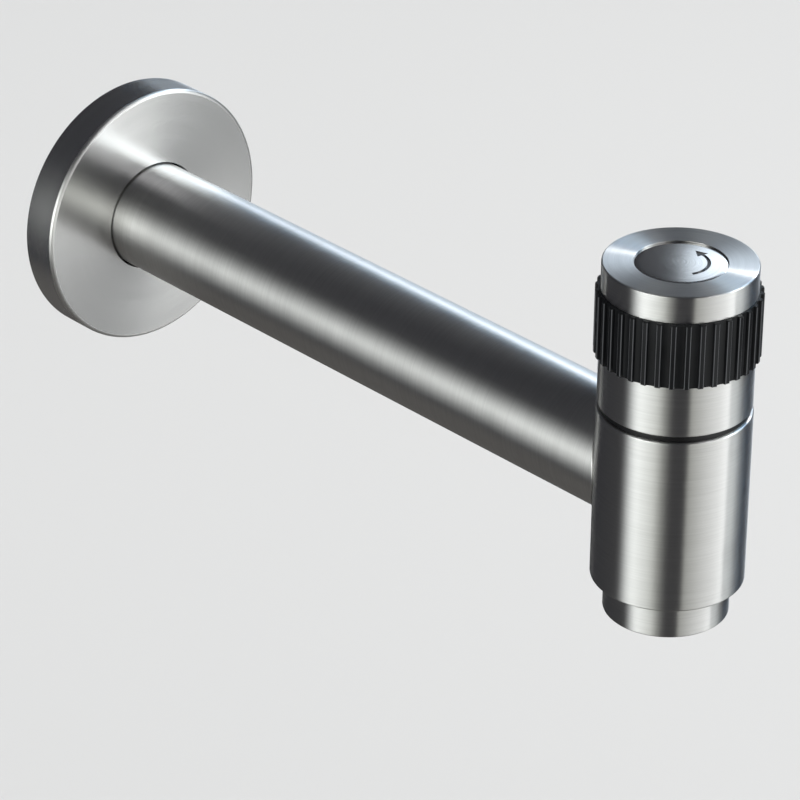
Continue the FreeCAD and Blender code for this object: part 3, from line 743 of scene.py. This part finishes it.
def makeThread(shape, start, end):
    # One pitch of the profile, screwed up the axis past both ends of the threaded length
    pitch, crest, flank = shape["pitch"], shape["crest"], shape["flank"]
    major, minor = shape["majorRadius"], shape["majorRadius"] - shape["threadDepth"]
    turns = math.ceil((end - start) / pitch) + 2
    bm = bmesh.new()
    profile = [
        (minor, 0), (minor, pitch - crest - 2 * flank), (major, pitch - crest - flank),
        (major, pitch - flank), (minor, pitch),
    ]
    outline = addOutline(bm, [(radius, start - pitch + height) for radius, height in profile], closed=False)
    rise = pitch / shape["stepsPerTurn"]
    spinRound(bm, outline, fullTurn * turns, turns * shape["stepsPerTurn"], dvec=(0, 0, rise))
    bmesh.ops.remove_doubles(bm, verts=bm.verts, dist=2 * hair)
    for height, side in ((start, -1), (end, 1)):
        bmesh.ops.bisect_plane(
            bm, geom=bm.verts[:] + bm.edges[:] + bm.faces[:], plane_co=(0, 0, height),
            plane_no=(0, 0, side), clear_outer=True,
        )
    bmesh.ops.holes_fill(bm, edges=bm.edges, sides=0)
    bmesh.ops.recalc_face_normals(bm, faces=bm.faces)
    return bm


def makeInletNipple(shape):
    end = nippleHigh.y
    thread = makeThread(shape, 0, end)
    # The lathe cuts the thread's end to a chamfer, and the bore goes through it all
    threadRun, chamferRadius = end - shape["chamfer"], shape["majorRadius"] - shape["chamfer"]
    blank = turnSection([
        (0, -shape["pitch"], 0), (flangeRadius, -shape["pitch"], 0), (flangeRadius, threadRun, 0),
        (shape["majorRadius"], threadRun, 0), (chamferRadius, end, 0), (0, end, 0),
    ], shape["steps"])
    thread = combine("INTERSECT", thread, blank)
    spigot, relief, edge = shape["spigotRadius"], shape["reliefRadius"], shape["edge"]
    core = turnSection([
        (0, nippleLow.y, 0), (spigot, nippleLow.y, edge), (spigot, shape["shoulderStart"], 0),
        (nippleHigh.x, shape["shoulderStart"], edge / 2), (nippleHigh.x, shape["reliefStart"], edge / 2),
        (relief, shape["reliefStart"], 0), (relief, shape["pitch"] / 2, 0), (0, shape["pitch"] / 2, 0),
    ], shape["steps"])
    bore = turnSection([
        (0, nippleLow.y - mm, 0), (shape["boreRadius"], nippleLow.y - mm, 0),
        (shape["boreRadius"], end + mm, 0), (0, end + mm, 0),
    ], shape["boreSteps"])
    bm = combine("DIFFERENCE", combine("UNION", core, thread), bore)
    layAlongTube(bm)
    finishPiece("inletNipple", bm, threadSteel, "tap", "machined_steel", "inlet_nipple")


makeWallFlange(flangeShape)
makeSpoutTube(tubeShape)
makeHeadBody(bodyShape)
makeSlipRing(slipShape)
makeKnobShell(knobShape)
makeGripRing(gripShape)
makeTopDisc(discShape)
makeAeratorShell(collarShape)
makeInletNipple(nippleShape)
print("stage: turned pieces made")

# The inner pieces keep their CAD shapes and get their own finishes
innerFinishes = {
    "brushed_steel": headSteel, "turned_steel": headSteel, "smooth_steel": discSteel,
    "machined_steel": screwSteel, "black_rubber": blackRubber, "black_plastic": blackPlastic,
    "seal_rubber": sealRubber, "brass": brass, "ceramic": ceramic, "white_plastic": whitePlastic,
}
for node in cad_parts.values():
    for slot in node.material_slots:
        slot.material = innerFinishes[slot.material.name.split(".")[0]]
print("stage: inner pieces finished")

# Studio: a pale floor, and soft panels all round that show only in reflections
studio = {
    "floorSize": 12.0, "floorDrop": 0.16, "floorColor": (0.70, 0.70, 0.695), "floorRoughness": 0.9,
    "backdrop": (0.69, 0.69, 0.69), "skyLight": (0.98, 0.985, 0.99), "roomShade": (0.051, 0.052, 0.058),
}
# Each panel in degrees: where its middle is, turned from +X towards +Y and raised from level, then half its
# width and height, and how soft its sides are and its top and bottom. Its light goes from near, on the side
# with the lower turn, to far
panels = {
    "left": {
        "turn": 186, "rise": 2, "halfWidth": 23.5, "halfHeight": 11, "sideEdge": 14, "topEdge": 30,
        "near": (8.1, 8.4, 8.3), "far": (3.2, 3.3, 3.05),
    },
    "right": {
        "turn": 275.5, "rise": -8, "halfWidth": 31, "halfHeight": 11.5, "sideEdge": 3, "topEdge": 21,
        "near": (1.7, 1.73, 1.6), "far": (4.7, 4.8, 4.8),
    },
    "strip": {
        "turn": 35, "rise": 10.5, "halfWidth": 8, "halfHeight": 18.5, "sideEdge": 8, "topEdge": 4.5,
        "near": (2.2, 2.6, 3.0), "far": (0.05, 0.05, 0.05),
    },
    "overWall": {
        "turn": 21.5, "rise": 27, "halfWidth": 20.5, "halfHeight": 8.5, "sideEdge": 1.5, "topEdge": 4,
        "near": (1.45, 1.85, 2.35), "far": (1.2, 1.35, 1.5),
    },
    "overSpout": {
        "turn": 308, "rise": 23, "halfWidth": 8, "halfHeight": 22, "sideEdge": 27, "topEdge": 32.5,
        "near": (0, 0, 0), "far": (10.1, 10.6, 10.6),
    },
    "top": {
        "turn": 355, "rise": 45, "halfWidth": 8.5, "halfHeight": 12, "sideEdge": 2.5, "topEdge": 6,
        "near": (5.3, 5.5, 4.95), "far": (1.6, 4.5, 8.45),
    },
    "overLeft": {
        "turn": 284, "rise": 45, "halfWidth": 14, "halfHeight": 14, "sideEdge": 8, "topEdge": 10,
        "near": (1.3, 1.3, 1.35), "far": (1.3, 1.3, 1.35),
    },
    "lowStrip": {
        "turn": 37, "rise": -28, "halfWidth": 14, "halfHeight": 14, "sideEdge": 2, "topEdge": 6,
        "near": (1.2, 1.3, 1.4), "far": (1.2, 1.3, 1.4),
    },
    "floorGlow": {
        "turn": 0, "rise": -90, "halfWidth": 200, "halfHeight": 52, "sideEdge": 10, "topEdge": 8,
        "near": (0.075, 0.07, 0.06), "far": (0.075, 0.07, 0.06),
    },
}
panelSockets = {
    "turn": "Turn", "rise": "Rise", "halfWidth": "Half Width", "halfHeight": "Half Height",
    "sideEdge": "Side Edge", "topEdge": "Top Edge",
}


def makePanelGroup():
    group, given, out = newGroup(
        "softPanel",
        [("Direction", "NodeSocketVector", None)]
        + [(label, "NodeSocketColor", None) for label in ("Room", "Near Light", "Far Light")]
        + [(label, "NodeSocketFloat", None) for label in panelSockets.values()],
        [("Light", "NodeSocketColor")],
    )
    swung = addNode(group, "ShaderNodeVectorRotate", rotation_type="Z_AXIS")
    link(group, given["Direction"], swung.inputs["Vector"])
    link(group, mathNode(group, "MULTIPLY", given["Turn"], -1.0), swung.inputs["Angle"])
    parts = addNode(group, "ShaderNodeSeparateXYZ")
    link(group, swung.outputs[0], parts.inputs[0])
    sideways = mathNode(group, "ARCTAN2", parts.outputs["Y"], parts.outputs["X"])
    height = mathNode(group, "SUBTRACT", mathNode(group, "ARCSINE", parts.outputs["Z"]), given["Rise"])

    def inside(angle, half, edge):
        distance = mathNode(group, "ABSOLUTE", angle)
        inner = mathNode(group, "SUBTRACT", half, edge)
        outer = mathNode(group, "ADD", half, edge)
        return remap(group, distance, inner, outer, 1.0, 0.0, smooth=True)

    start = mathNode(group, "MULTIPLY", given["Half Width"], -1.0)
    ramp = remap(group, sideways, start, given["Half Width"], 0.0, 1.0)
    across = inside(sideways, given["Half Width"], given["Side Edge"])
    upward = inside(height, given["Half Height"], given["Top Edge"])
    shine = addNode(group, "ShaderNodeVectorMath", operation="MULTIPLY_ADD")
    link(group, mixColors(group, ramp, given["Near Light"], given["Far Light"]), shine.inputs[0])
    link(group, mathNode(group, "MULTIPLY", across, upward), shine.inputs[1])
    link(group, given["Room"], shine.inputs[2])
    link(group, shine.outputs[0], out["Light"])
    return group


# The steel mirrors the panels, the camera sees a plain backdrop, and matt surfaces get an even light
def makeWorld():
    world = bpy.data.worlds.new("studio")
    bpy.context.scene.world = world
    world.use_nodes = True
    world.cycles.sampling_method = "NONE"     # sampled as a light, the even sky would show in the steel
    tree = world.node_tree
    tree.nodes.clear()
    coordinates = addNode(tree, "ShaderNodeTexCoord")
    panelGroup = makePanelGroup()
    light = (*studio["roomShade"], 1)
    for name, panel in panels.items():
        node = addNode(tree, "ShaderNodeGroup", node_tree=panelGroup, label=name)
        link(tree, coordinates.outputs["Generated"], node.inputs["Direction"])
        link(tree, light, node.inputs["Room"])
        for key, label in panelSockets.items():
            node.inputs[label].default_value = math.radians(panel[key])
        node.inputs["Near Light"].default_value = (*panel["near"], 1)
        node.inputs["Far Light"].default_value = (*panel["far"], 1)
        light = node.outputs["Light"]
    rays = addNode(tree, "ShaderNodeLightPath")

    def background(color):
        node = addNode(tree, "ShaderNodeBackground")
        link(tree, color, node.inputs["Color"])
        return node.outputs[0]

    def choose(question, otherwise, answer):
        return mixShaders(tree, rays.outputs[question], otherwise, answer)

    skyLight = background((*studio["skyLight"], 1))
    backdrop = background((*studio["backdrop"], 1))
    seen = choose("Is Camera Ray", skyLight, backdrop)
    output = addNode(tree, "ShaderNodeOutputWorld")
    tree.links.new(choose("Is Glossy Ray", seen, background(light)), output.inputs["Surface"])


def makeFloor():
    bm = bmesh.new()
    bmesh.ops.create_grid(bm, x_segments=2, y_segments=2, size=studio["floorSize"] / 2)
    moveTo(bm, (0, 0, cadLow.z - studio["floorDrop"]))
    mesh = bpy.data.meshes.new("floor")
    bm.to_mesh(mesh)
    bm.free()
    floor = bpy.data.objects.new("floor", mesh)
    bpy.context.scene.collection.objects.link(floor)
    material, tree, shader = startMaterial("floorPaper", studio["floorColor"], studio["floorRoughness"])
    # A view from under the floor looks through it at the underside of the tap
    geometry = addNode(tree, "ShaderNodeNewGeometry")
    clear = addNode(tree, "ShaderNodeBsdfTransparent")
    choice = mixShaders(tree, geometry.outputs["Backfacing"], shader.outputs[0], clear.outputs[0])
    tree.links.new(choice, tree.nodes["Material Output"].inputs["Surface"])
    mesh.materials.append(material)
    floor.visible_glossy = False          # the steel mirrors the soft panels instead


# A small lamp that shows in reflections, and a broad one that doesn't
areaLights = {
    "glintLamp": {
        "place": (0.65, 0.06, 0.45), "target": (0, -0.17, 0), "size": (0.03, 0.03), "power": 0.45,
        "mirrored": True,
    },
    "fillLight": {
        "place": (0.9, -1.1, 0.9), "target": (0, -0.1, 0), "size": (0.9, 0.9), "power": 5,
        "mirrored": False,
    },
}


def makeAreaLight(name, lamp):
    place, target = Vector(lamp["place"]), Vector(lamp["target"])
    data = bpy.data.lights.new(name, "AREA")
    data.shape = "RECTANGLE"
    data.size, data.size_y = lamp["size"]
    data.energy = lamp["power"]
    light = bpy.data.objects.new(name, data)
    bpy.context.scene.collection.objects.link(light)
    light.location = place
    light.rotation_mode = "QUATERNION"
    light.rotation_quaternion = (target - place).to_track_quat("-Z", "Y")
    light.visible_glossy = lamp["mirrored"]


lensShape = {
    "place": (-0.52802, -0.66076, 0.40485), "turn": -42.93, "rise": 28.43, "roll": 0.5,
    "focal": 180.32, "sensor": 36.0,
}


def makeCamera(shape):
    turn, rise, roll = (math.radians(shape[key]) for key in ("turn", "rise", "roll"))
    back = Vector((math.sin(turn) * math.cos(rise), -math.cos(turn) * math.cos(rise), math.sin(rise)))
    right = (-back).cross(Vector((0, 0, 1))).normalized()
    up = right.cross(-back)
    rolledRight = math.cos(roll) * right + math.sin(roll) * up
    rolledUp = -math.sin(roll) * right + math.cos(roll) * up
    data = bpy.data.cameras.new("camera")
    data.lens = shape["focal"]
    data.sensor_width = shape["sensor"]
    data.clip_start = 0.01
    camera = bpy.data.objects.new("camera", data)
    bpy.context.scene.collection.objects.link(camera)
    stance = Matrix((rolledRight, rolledUp, back)).transposed().to_4x4()
    camera.matrix_world = Matrix.Translation(shape["place"]) @ stance
    bpy.context.scene.camera = camera


makeWorld()
makeFloor()
for name, lamp in areaLights.items():
    makeAreaLight(name, lamp)
makeCamera(lensShape)
bpy.context.scene.view_settings.view_transform = "Standard"
print("stage: studio ready")
